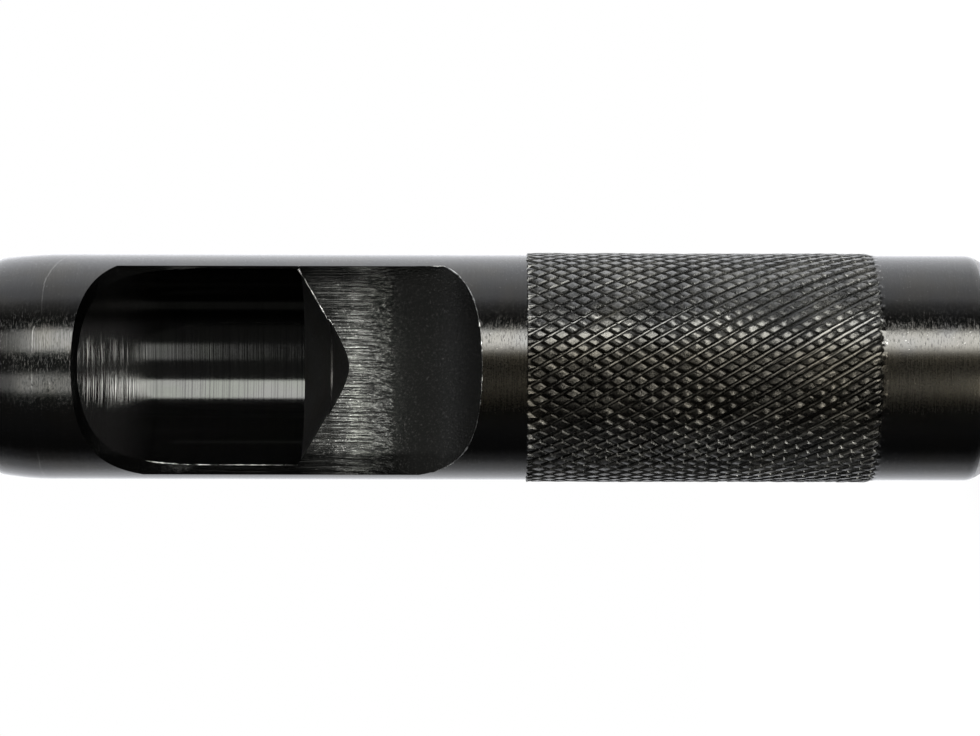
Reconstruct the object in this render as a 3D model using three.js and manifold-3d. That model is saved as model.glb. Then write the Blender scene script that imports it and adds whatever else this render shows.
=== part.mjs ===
// Hollow punch: a hand tool that a hammer drives through leather, felt or gasket sheet to cut a
// round disc. It is one bar of tool steel: turned outside, drilled from the cutting end, milled
// open at the side so that the discs fall out, and knurled for the fingers.
// Millimetres, +Z up. The tool stands on its strike face, whose centre is the origin. Its
// cutting edge is at the top and its slug window faces -Y.
import * as THREE from "three";
import { mergeVertices } from "three/addons/utils/BufferGeometryUtils.js";
import Module from "manifold-3d";

const wasm = await Module();
wasm.setup();

// Driving sizes: the disc that the tool cuts, the wall round it, and the tool's stretches from
// the strike face up. The window's own length lies between the neck and the nose.
const cutDiameter = 21;
const wallThickness = 1.4;
const bandLength = 12.4;
const knurlLength = 37.05;
const neckLength = 4.75;
const noseLength = 10.5;

// Bore, drilled from the cutting edge: a short true land, then relief so that discs run free.
// It keeps its full width to a little past the window's middle.
const boreRelief = 0.1;
const landLength = 3;
const reliefLength = 1;
const boreBeyondMiddle = 1.65;
const drillPointAngle = THREE.MathUtils.degToRad(118);
const pilotDiameter = 10.8;
const pilotStep = 0.2;

// Nose: a long shallow taper, then the bevel that ends in the cutting edge
const taperLength = 6.1;
const taperDepth = 0.45;
const bevelLength = 2;
const edgeFlat = 0.12;

// Slug window: a pocket with round ends, left by a cutter that sinks in from the side
const windowFloorLength = 15;
const windowFloorFromAxis = 1.9;
const windowCutterRadius = 14.4;
const windowSideLip = 1;
const windowShift = 0.4;

// Diamond knurl on the grip: two crossed sets of V grooves rolled into the bar
const knurlPitch = 1.18;
const knurlAngle = THREE.MathUtils.degToRad(30.6);
const knurlDepth = 0.5;
const knurlRaise = 0.25;
const knurlLeadIn = 1.4;
const knurlShoulder = 0.3;

// Strike end: a chamfer that the hammer has bared, eased where it meets the body
const strikeChamferLength = 2.4;
const strikeChamferDepth = 1.4;
const strikeEase = 0.6;

// Cutting tools run past the surface by this much, and points closer than this are one point
const overrun = 2;
const mergeDistance = 1e-4;

// How finely round shapes are drawn
const boreSegments = 96;
const windowArcSegments = 16;
const taperSteps = 3;
const easeSteps = 2;

// Sizes that follow from the ones above
const edgeRadius = cutDiameter / 2;
const boreRadius = edgeRadius + boreRelief;
const bodyRadius = boreRadius + wallThickness;
const windowDepth = bodyRadius - windowFloorFromAxis;
const windowLength = windowFloorLength + 2 * windowArcReach(windowDepth);
const windowWidth = 2 * (bodyRadius - windowSideLip);
const knurlEnd = bandLength + knurlLength;
const windowCentre = knurlEnd + neckLength + windowLength / 2;
const overallLength = knurlEnd + neckLength + windowLength + noseLength;
const bevelStart = overallLength - bevelLength;
const taperStart = bevelStart - taperLength;
const taperEndRadius = bodyRadius - taperDepth;
const strikeFaceRadius = bodyRadius - strikeChamferDepth;
const boreEnd = windowCentre - boreBeyondMiddle;
const crestRadius = bodyRadius + knurlRaise;
const rootRadius = crestRadius - knurlDepth;

// The grooves close on themselves round the bar, so their number is a whole one. A point
// stands in every second column and in every second row between them.
const knurlStarts = Math.round((2 * Math.PI * crestRadius * Math.cos(knurlAngle)) / knurlPitch);
const knurlDiamonds = Math.round((knurlLength * Math.sin(knurlAngle)) / knurlPitch);
const columns = 2 * knurlStarts;
const knurlRows = 2 * knurlDiamonds;

// How far each end of the window runs on past its flat floor, at a given height above that floor
function windowArcReach(height) {
  const risen = Math.min(height, windowCutterRadius);
  return Math.sqrt(windowCutterRadius ** 2 - (windowCutterRadius - risen) ** 2);
}

// A ring is a height and the radius at each of its columns
function plainRing(height, radius) {
  return { height, radiusAt: () => radius };
}

// One row of the knurl. Its points alternate with its groove crossings from column to column,
// and rows take turns, so that the grooves run straight from crossing to crossing. At the
// strike end the points rise over a lead-in, where the rolling wheel has a chamfer.
function knurlRing(row) {
  const climb = (row / knurlRows) * knurlLength;
  const leadIn = Math.min(climb / knurlLeadIn, 1);
  const pointRadius = rootRadius + knurlDepth * leadIn;
  return {
    height: bandLength + climb,
    radiusAt: (column) => ((row + column) % 2 === 0 ? pointRadius : rootRadius),
  };
}

// Rings along a curve drawn in radius and height
function curveRings(curve, steps) {
  return curve.getPoints(steps).map((point) => plainRing(point.y, point.x));
}

// The chamfer's upper corner, rounded off into the body
function strikeEaseCurve() {
  const corner = new THREE.Vector2(bodyRadius, strikeChamferLength);
  const face = new THREE.Vector2(strikeFaceRadius, 0);
  const onChamfer = corner.clone().add(face.sub(corner).setLength(strikeEase));
  const onBody = new THREE.Vector2(bodyRadius, strikeChamferLength + strikeEase);
  return new THREE.QuadraticBezierCurve(onChamfer, corner, onBody);
}

// The nose bulges a little: it leaves the body flush and steepens towards the bevel
function taperCurve() {
  const from = new THREE.Vector2(bodyRadius, taperStart);
  const middle = new THREE.Vector2(bodyRadius, (taperStart + bevelStart) / 2);
  const to = new THREE.Vector2(taperEndRadius, bevelStart);
  return new THREE.QuadraticBezierCurve(from, middle, to);
}

// The whole outside as one closed surface: rings from the strike face to the cutting edge,
// closed by a fan at each end. Each square between two rings is split along the diagonal that
// joins its two groove crossings, which makes the knurl's points four-sided pyramids.
function outerGeometry() {
  const knurl = Array.from({ length: knurlRows + 1 }, (_, row) => knurlRing(row));
  const rings = [
    plainRing(0, strikeFaceRadius),
    ...curveRings(strikeEaseCurve(), easeSteps),
    plainRing(bandLength - knurlShoulder, bodyRadius),
    ...knurl,
    plainRing(knurlEnd + knurlShoulder, bodyRadius),
    ...curveRings(taperCurve(), taperSteps),
    plainRing(overallLength, edgeRadius + edgeFlat),
  ];
  const firstKnurlRing = rings.indexOf(knurl[0]);
  const positions = [];
  for (const ring of rings) {
    for (let column = 0; column < columns; column += 1) {
      const angle = (2 * Math.PI * column) / columns;
      const radius = ring.radiusAt(column);
      positions.push(radius * Math.cos(angle), radius * Math.sin(angle), ring.height);
    }
  }
  const bottom = rings.length * columns;
  const top = bottom + 1;
  positions.push(0, 0, 0, 0, 0, overallLength);

  const indices = [];
  const last = rings.length - 1;
  for (let column = 0; column < columns; column += 1) {
    const next = (column + 1) % columns;
    indices.push(bottom, next, column);
    indices.push(top, last * columns + column, last * columns + next);
    for (let ring = 0; ring < last; ring += 1) {
      const lowerLeft = ring * columns + column;
      const lowerRight = ring * columns + next;
      const upperLeft = lowerLeft + columns;
      const upperRight = lowerRight + columns;
      const pointIsLowerLeft = (ring - firstKnurlRing + column) % 2 === 0;
      if (pointIsLowerLeft) {
        indices.push(lowerLeft, lowerRight, upperLeft, lowerRight, upperRight, upperLeft);
      } else {
        indices.push(lowerLeft, lowerRight, upperRight, lowerLeft, upperRight, upperLeft);
      }
    }
  }
  const geometry = new THREE.BufferGeometry();
  geometry.setAttribute("position", new THREE.Float32BufferAttribute(positions, 3));
  geometry.setIndex(indices);
  return geometry;
}

// What the drills and the boring bar take out: the land and its relief, the bore, the drill's
// point, and the small step where the pilot drill went a little deeper
function boreGeometry() {
  const slope = Math.tan(drillPointAngle / 2);
  const pilotRadius = pilotDiameter / 2;
  const pilotTop = boreEnd - (boreRadius - pilotRadius) / slope;
  const pilotBottom = pilotTop - pilotStep;
  const landEnd = overallLength - landLength;
  const profile = [
    new THREE.Vector2(0, pilotBottom - pilotRadius / slope),
    new THREE.Vector2(pilotRadius, pilotBottom),
    new THREE.Vector2(pilotRadius, pilotTop),
    new THREE.Vector2(boreRadius, boreEnd),
    new THREE.Vector2(boreRadius, landEnd - reliefLength),
    new THREE.Vector2(edgeRadius, landEnd),
    new THREE.Vector2(edgeRadius, overallLength + overrun),
    new THREE.Vector2(0, overallLength + overrun),
  ];
  return new THREE.LatheGeometry(profile, boreSegments).rotateX(Math.PI / 2);
}

// What the window cutter takes out. The outline is drawn along the tool and outwards from its
// axis: a flat floor with a quarter of the cutter's circle, or less, rising at each end.
function windowGeometry() {
  const outside = bodyRadius + knurlRaise + overrun;
  const arcReach = windowArcReach(outside - windowFloorFromAxis);
  const sweep = Math.asin(arcReach / windowCutterRadius);
  const arcHeight = windowFloorFromAxis + windowCutterRadius;
  const halfFloor = windowFloorLength / 2;
  const down = -Math.PI / 2;
  const reach = halfFloor + arcReach;
  const outline = new THREE.Shape();
  outline.moveTo(-halfFloor, windowFloorFromAxis);
  outline.absarc(halfFloor, arcHeight, windowCutterRadius, down, down + sweep);
  outline.lineTo(reach, outside);
  outline.lineTo(-reach, outside);
  outline.absarc(-halfFloor, arcHeight, windowCutterRadius, down - sweep, down);
  const along = new THREE.Vector3(0, 0, 1);
  const outwards = new THREE.Vector3(0, -1, 0);
  const across = new THREE.Vector3(1, 0, 0);
  return new THREE.ExtrudeGeometry(outline, {
    depth: windowWidth,
    bevelEnabled: false,
    curveSegments: windowArcSegments,
  })
    .applyMatrix4(new THREE.Matrix4().makeBasis(along, outwards, across))
    .translate(-windowWidth / 2 - windowShift, 0, windowCentre);
}

// A closed surface as a solid that can be cut
function solidOf(geometry) {
  const bare = new THREE.BufferGeometry();
  bare.setAttribute("position", geometry.getAttribute("position"));
  bare.setIndex(geometry.getIndex());
  const merged = mergeVertices(bare, mergeDistance);
  return new wasm.Manifold(
    new wasm.Mesh({
      numProp: 3,
      vertProperties: merged.getAttribute("position").array,
      triVerts: Uint32Array.from(merged.getIndex().array),
    }),
  );
}

// A cut solid back as a surface to draw
function geometryOf(solid) {
  const mesh = solid.getMesh();
  const geometry = new THREE.BufferGeometry();
  geometry.setAttribute("position", new THREE.BufferAttribute(mesh.vertProperties, mesh.numProp));
  geometry.setIndex(new THREE.BufferAttribute(mesh.triVerts, 1));
  geometry.computeVertexNormals();
  return geometry;
}

function makePunchBody() {
  const bar = solidOf(outerGeometry());
  const drilled = bar.subtract(solidOf(boreGeometry()));
  const milled = drilled.subtract(solidOf(windowGeometry()));
  const blackenedSteel = new THREE.MeshStandardMaterial({
    color: 0x2b2b29,
    roughness: 0.42,
    metalness: 0.9,
  });
  const body = new THREE.Mesh(geometryOf(milled), blackenedSteel);
  body.name = "punch_body";
  return body;
}

const hollowPunch = new THREE.Group();
hollowPunch.add(makePunchBody());

export default hollowPunch;
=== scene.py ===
"""Hollow punch: a blackened steel hand punch with a knurled grip and an open slug window.

The whole tool is one bar, so it is dressed as one closed piece: a strike end, a knurled grip and
a bored and milled cutting end, joined ring to ring. Shapes are worked out in millimetres and
turned into metres at the end. The tool stands on its strike face at the origin, its cutting edge
is up, and its window faces -Y.
"""

import logging
import math
from dataclasses import dataclass, field
from enum import IntEnum

import bmesh
import bpy
from mathutils import Matrix, Vector, noise


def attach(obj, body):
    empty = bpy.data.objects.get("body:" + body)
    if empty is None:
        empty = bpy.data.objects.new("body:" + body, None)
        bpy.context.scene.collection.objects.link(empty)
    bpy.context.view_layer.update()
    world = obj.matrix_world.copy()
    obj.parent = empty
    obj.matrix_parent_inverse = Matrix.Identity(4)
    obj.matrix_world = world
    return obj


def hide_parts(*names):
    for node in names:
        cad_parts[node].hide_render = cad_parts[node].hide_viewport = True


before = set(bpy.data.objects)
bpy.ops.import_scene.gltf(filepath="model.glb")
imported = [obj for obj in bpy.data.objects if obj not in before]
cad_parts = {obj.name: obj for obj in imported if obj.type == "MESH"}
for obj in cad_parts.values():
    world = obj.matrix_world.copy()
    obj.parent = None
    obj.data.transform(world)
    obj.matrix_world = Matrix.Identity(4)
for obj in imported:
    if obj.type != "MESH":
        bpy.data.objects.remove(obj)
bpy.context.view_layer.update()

LOG = logging.getLogger("hollow_punch")

MM = 0.001
RING_STEPS = 448
FULL_TURN = 2 * math.pi

# Points closer than this many millimetres are one point: the coarse distance is for the knurl's
# band and its ends, and the fine one for all else
FINE_MERGE = 1e-4
COARSE_MERGE = 1e-3

# Step from one cell of chance to the next, so that neighbours never share one
CELL_STEP = 1.37

Edges = list[bmesh.types.BMEdge]
Socket = bpy.types.NodeSocket
Colour = tuple[float, float, float, float]
Triple = tuple[float, float, float]
Pair = tuple[float, float]

BLACK: Colour = (0.0, 0.0, 0.0, 1)
WHITE: Colour = (1.0, 1.0, 1.0, 1)


class Skin(IntEnum):
    """The finishes on the tool, by their place in the list of material slots."""

    TURNED = 0
    KNURLED = 1
    BORED = 2
    MILLED = 3
    BARED = 4
    BURRED = 5
    DRILLED = 6
    WALLED = 7


Skins = tuple[Skin, ...]


@dataclass(frozen=True)
class PunchSizes:
    """The sizes of the tool in millimetres, as in the part's source."""

    cut_diameter: float = 21.0
    wall: float = 1.4
    band_length: float = 12.4
    knurl_length: float = 37.05
    neck_length: float = 4.75
    nose_length: float = 10.5
    bore_relief: float = 0.1
    land_length: float = 3.0
    relief_length: float = 1.0
    bore_beyond_middle: float = 1.65
    drill_point_angle: float = math.radians(118)
    pilot_diameter: float = 10.8
    pilot_step: float = 0.2
    taper_length: float = 6.1
    taper_depth: float = 0.45
    bevel_length: float = 2.0
    edge_flat: float = 0.12
    floor_length: float = 15.0
    floor_from_axis: float = 1.9
    cutter_radius: float = 14.4
    side_lip: float = 1.0
    window_shift: float = 0.4
    knurl_depth: float = 0.5
    knurl_raise: float = 0.25
    knurl_lead_in: float = 1.4
    knurl_shoulder: float = 0.1
    chamfer_length: float = 2.4
    chamfer_depth: float = 1.4
    strike_ease: float = 0.6

    @property
    def edge_radius(self) -> float:
        """Radius of the cutting edge."""
        return self.cut_diameter / 2

    @property
    def bore_radius(self) -> float:
        """Radius of the bore behind its land."""
        return self.edge_radius + self.bore_relief

    @property
    def body_radius(self) -> float:
        """Radius of the plain turned bar."""
        return self.bore_radius + self.wall

    @property
    def knurl_end(self) -> float:
        """Height at which the knurl stops."""
        return self.band_length + self.knurl_length

    @property
    def window_length(self) -> float:
        """Length of the window where it opens in the bar's skin."""
        risen = self.body_radius - self.floor_from_axis
        reach = math.sqrt(self.cutter_radius**2 - (self.cutter_radius - risen) ** 2)
        return self.floor_length + 2 * reach

    @property
    def window_centre(self) -> float:
        """Height of the window's middle."""
        return self.knurl_end + self.neck_length + self.window_length / 2

    @property
    def overall(self) -> float:
        """Height of the whole tool."""
        return self.knurl_end + self.neck_length + self.window_length + self.nose_length

    @property
    def bevel_start(self) -> float:
        """Height at which the bevel of the cutting edge starts."""
        return self.overall - self.bevel_length

    @property
    def taper_start(self) -> float:
        """Height at which the nose starts to taper."""
        return self.bevel_start - self.taper_length

    @property
    def bore_end(self) -> float:
        """Height at which the bore ends in the drill's cone."""
        return self.window_centre - self.bore_beyond_middle

    @property
    def crest_radius(self) -> float:
        """Radius at the knurl's points."""
        return self.body_radius + self.knurl_raise


Profile = list[Pair]


def spun(profile: Profile, steps: int = RING_STEPS) -> bmesh.types.BMesh:
    """Turns a profile into a surface round the Z axis.

    Args:
        profile: radius and height of each point, in millimetres.
        steps: how many faces go round.

    Returns:
        The surface, with its poles closed.
    """
    bm = bmesh.new()
    points = [bm.verts.new((radius, 0, height)) for radius, height in profile]
    edges = [bm.edges.new(pair) for pair in zip(points, points[1:])]
    bmesh.ops.spin(
        bm, geom=points + edges, cent=(0, 0, 0), axis=(0, 0, 1), angle=FULL_TURN, steps=steps,
        use_merge=True,
    )
    bmesh.ops.remove_doubles(bm, verts=bm.verts[:], dist=FINE_MERGE)
    return bm


def bezier(start: Vector, handle: Vector, end: Vector, steps: int) -> Profile:
    """Points along a quadratic curve.

    Args:
        start: first point, as radius and height.
        handle: the point that the curve leans towards.
        end: last point.
        steps: how many stretches the curve has.

    Returns:
        The points, the first and the last among them.
    """
    points = []
    for step in range(steps + 1):
        t = step / steps
        point = start * (1 - t) ** 2 + handle * 2 * t * (1 - t) + end * t**2
        points.append((point.x, point.y))
    return points


def mesh_of(bm: bmesh.types.BMesh, name: str) -> bpy.types.Mesh:
    """Writes a bmesh into a new mesh and frees it.

    Args:
        bm: the surface to write.
        name: name of the mesh.

    Returns:
        The new mesh.
    """
    mesh = bpy.data.meshes.new(name)
    bm.to_mesh(mesh)
    bm.free()
    return mesh


def open_ring(bm: bmesh.types.BMesh, height: float, reach: float) -> Edges:
    """Finds the open edges of a surface near a height.

    Args:
        bm: the surface.
        height: height of the ring in millimetres.
        reach: how far from that height an edge may be.

    Returns:
        The edges that have one face only.
    """
    return [
        edge for edge in bm.edges
        if edge.is_boundary and all(abs(vert.co.z - height) < reach for vert in edge.verts)
    ]


def middle_of(edge: bmesh.types.BMEdge) -> tuple[float, ...]:
    """The middle of an edge, to put edges in an order that no operator changes."""
    return tuple(round(place, 5) for place in (edge.verts[0].co + edge.verts[1].co) / 2)


def smoothstep(low: float, high: float, value: float) -> float:
    """Rises smoothly from 0 at low to 1 at high."""
    t = min(max((value - low) / (high - low), 0), 1)
    return t * t * (3 - 2 * t)


Stops = tuple[float, float, float, float, float]


@dataclass(frozen=True)
class KnurlBand:
    """The diamond knurl on the grip: two crossed sets of rolled grooves with points between.

    A mark is one column or row. Points stand where column and row add up to an even number, and
    the grooves cross where the sum is odd. The first family of grooves runs down as it goes
    round towards +X, and the second runs up.
    """

    sizes: PunchSizes
    columns: int = 112
    rows: int = 32
    cuts: int = 3
    depth: float = 0.32
    first_stops: Stops = (0.0, 0.12, 0.28, 0.47, 1.0)
    first_wide_stops: Stops = (0.0, 0.23, 0.41, 0.64, 1.0)
    first_rises: Stops = (0.0, 0.035, 0.62, 0.91, 1.0)
    first_wide_rises: Stops = (0.0, 0.07, 0.58, 0.905, 1.0)
    second_stops: Stops = (0.0, 0.06, 0.20, 0.39, 1.0)
    second_rises: Stops = (0.0, 0.18, 0.70, 0.92, 1.0)
    second_share_at_nose: float = 0.95
    second_share_at_strike: float = 0.50
    corner_power: float = 6.0
    drift: float = 0.05
    grain: float = 0.014
    tilt: float = 0.055
    groove_lean: float = 0.12
    rim_stops: Stops = (0.0, 0.50, 0.60, 0.78, 1.158)
    rim_length: float = 0.9
    share_reach: Pair = (0.25, 0.75)
    wide_reach: Pair = (0.62, 0.15)
    floor_reach: Pair = (0.45, 0.62)
    crest_wear: float = 0.03
    deepest_fall: float = 1.04

    def flat_band(self) -> bmesh.types.BMesh:
        """Makes the unrolled band, split along the grooves.

        Returns:
            A flat grid one unit wide and high, whose triangles follow the grooves.
        """
        bm = bmesh.new()
        bmesh.ops.create_grid(bm, x_segments=self.columns, y_segments=self.rows, size=0.5)
        for quad_method, parity in (("FIXED", 1), ("ALTERNATE", 0)):
            squares = []
            for face in bm.faces:
                corner = face.verts[0].co
                column = round((corner.x + 0.5) * self.columns)
                row = round((corner.y + 0.5) * self.rows)
                if len(face.verts) == 4 and (column + row) % 2 == parity:
                    squares.append(face)
            bmesh.ops.triangulate(bm, faces=squares, quad_method=quad_method)
        bmesh.ops.subdivide_edges(bm, edges=bm.edges[:], cuts=self.cuts, use_grid_fill=True)
        return bm

    def read(self, t: float, stops: Stops) -> float:
        """Reads a value off five even stops from the groove's line, 0, to the point's, 1.

        Args:
            t: the place between the two.
            stops: the values at the even places.

        Returns:
            The value between the two nearest stops.
        """
        stretches = len(stops) - 1
        step = min(int(t * stretches + 1e-6), stretches - 1)
        return stops[step] + (stops[step + 1] - stops[step]) * (t * stretches - step)

    def read_mixed(self, t: float, stops: Stops, wide_stops: Stops, wide: float) -> float:
        """Reads a value that changes along the band, as the first grooves grow wider.

        Args:
            t: the place between the groove's line, 0, and the point's, 1.
            stops: the values where the grooves are narrow.
            wide_stops: the values where they are wide.
            wide: how wide they are here, from 0 to 1.

        Returns:
            The mixed value.
        """
        return self.read(t, stops) * (1 - wide) + self.read(t, wide_stops) * wide

    def second_share(self, along: float) -> float:
        """How deep the second grooves are against the first, by the place along the band."""
        gained = self.second_share_at_nose - self.second_share_at_strike
        return self.second_share_at_strike + smoothstep(*self.share_reach, along) * gained

    def scatter(self, first: float, second: float, deep: float, tilt: float) -> float:
        """How far chance lifts a place, since no two points and grooves are rolled alike.

        Args:
            first: the place counted in grooves of the first family.
            second: the same for the second family.
            deep: how deep the place lies in its first groove, from 0 to 1.
            tilt: how far the points lean here, in millimetres.

        Returns:
            The lift in millimetres.
        """
        starts = self.columns // 2
        point = Vector((round(first) % starts, round(second) % starts, 0.5))
        lean = noise.cell_vector(point * CELL_STEP) * 2 - Vector((1, 1, 1))
        groove = math.floor(first)
        swerve = noise.cell(Vector((groove % starts * CELL_STEP, 0.5, 2.5))) * 2 - 1
        lift = swerve * self.groove_lean * (first - groove - 0.5) * deep
        lift += tilt * lean.x * (first - round(first))
        return lift + tilt * lean.y * (second - round(second)) + 0.1 * tilt * lean.z

    def build(self) -> bmesh.types.BMesh:
        """Rolls the knurl round the bar.

        The flat grid's even points are moved to where the grooves bend, then lowered. At the
        strike end the points sink over the lead-in, and the grooves keep their floor.

        Returns:
            The band, open at both ends, with the attributes that its finish reads.
        """
        bm = self.flat_band()
        worn = bm.verts.layers.float.new("wear")
        cut = bm.verts.layers.float.new("groove")
        sizes = self.sizes
        for vert in bm.verts:
            column = (vert.co.x + 0.5) * self.columns
            row = (vert.co.y + 0.5) * self.rows
            along = row / self.rows
            first, second = (column + row) / 2, (column - row) / 2
            off_first, off_second = first - round(first), second - round(second)
            t_first, t_second = 1 - 2 * abs(off_first), 1 - 2 * abs(off_second)

            wide = smoothstep(*self.wide_reach, along)
            rise_first = self.read_mixed(t_first, self.first_rises, self.first_wide_rises, wide)
            rise_second = self.read(t_second, self.second_rises)
            moved = self.read_mixed(t_first, self.first_stops, self.first_wide_stops, wide)
            moved_first = (1 - moved) / 2
            moved_second = (1 - self.read(t_second, self.second_stops)) / 2
            freed = min(2 * min(row, self.rows - row), 1)
            first += (round(first) + math.copysign(moved_first, off_first) - first) * freed
            second += (round(second) + math.copysign(moved_second, off_second) - second) * freed
            column, row = first + second, first - second
            climb = row / self.rows * sizes.knurl_length
            if row < 1:
                climb = self.read(row, self.rim_stops)
            turn = FULL_TURN * column / self.columns

            spot = Vector((math.cos(turn), math.sin(turn), 0)) * sizes.crest_radius
            spot.z = climb
            drift = self.drift * noise.noise(spot * 0.3)
            grain = self.grain * (noise.noise(spot * 2.3) + 0.6 * noise.noise(spot * 5.1))
            power = self.corner_power
            fall_first = 1 - rise_first
            fall_second = self.second_share(along) * (1 + 4 * drift) * (1 - rise_second)
            fall = (fall_first**power + fall_second**power) ** (1 / power)
            rim = min(max((climb - self.rim_stops[1]) / self.rim_length, 0), 1)
            raised = math.sqrt(1 - (1 - rim) ** 2)
            tilt = self.tilt * (1 + wide) * (1 - fall) * raised
            grain += self.scatter(first, second, fall_first * raised, tilt)
            crest = sizes.body_radius + (sizes.knurl_raise - self.crest_wear) * raised
            depth = self.depth * smoothstep(*self.floor_reach, climb)
            radius = crest - depth * min(fall, self.deepest_fall) + (grain + drift) * raised
            radius = min(radius, sizes.crest_radius)
            vert.co = (radius * math.cos(turn), radius * math.sin(turn), sizes.band_length + climb)
            vert[worn] = smoothstep(0.8, 1.0, min(rise_first, 1 - fall_second))
            vert[cut] = smoothstep(0.5, 0.0, rise_first)
        bmesh.ops.remove_doubles(bm, verts=bm.verts[:], dist=COARSE_MERGE)
        return bm


@dataclass(frozen=True)
class StrikeEnd:
    """The end that the hammer meets: a flat face, a chamfer worn bare and a plain band."""

    sizes: PunchSizes
    ease_steps: int = 8
    face_rings: tuple[float, ...] = (0, 3, 6, 9)
    band_rings: tuple[float, ...] = (6, 9)
    worn_corner: tuple[Pair, ...] = (
        (-0.12, 0), (-0.035, 0.012), (0.035, 0.07), (0.12, 0.2),
    )

    def build(self) -> bmesh.types.BMesh:
        """Turns the strike end.

        Returns:
            The surface from the face's centre up to just under the knurl.
        """
        sizes = self.sizes
        corner = Vector((sizes.body_radius, sizes.chamfer_length))
        face = Vector((sizes.body_radius - sizes.chamfer_depth, 0))
        on_chamfer = corner + (face - corner).normalized() * sizes.strike_ease
        on_body = corner + Vector((0, sizes.strike_ease))
        profile = [
            *[(radius, 0) for radius in self.face_rings],
            *[(face.x + outwards, height) for outwards, height in self.worn_corner],
            *bezier(on_chamfer, corner, on_body, self.ease_steps),
            *[(sizes.body_radius, height) for height in self.band_rings],
            (sizes.body_radius, sizes.band_length - sizes.knurl_shoulder),
        ]
        return spun(profile)


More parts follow.
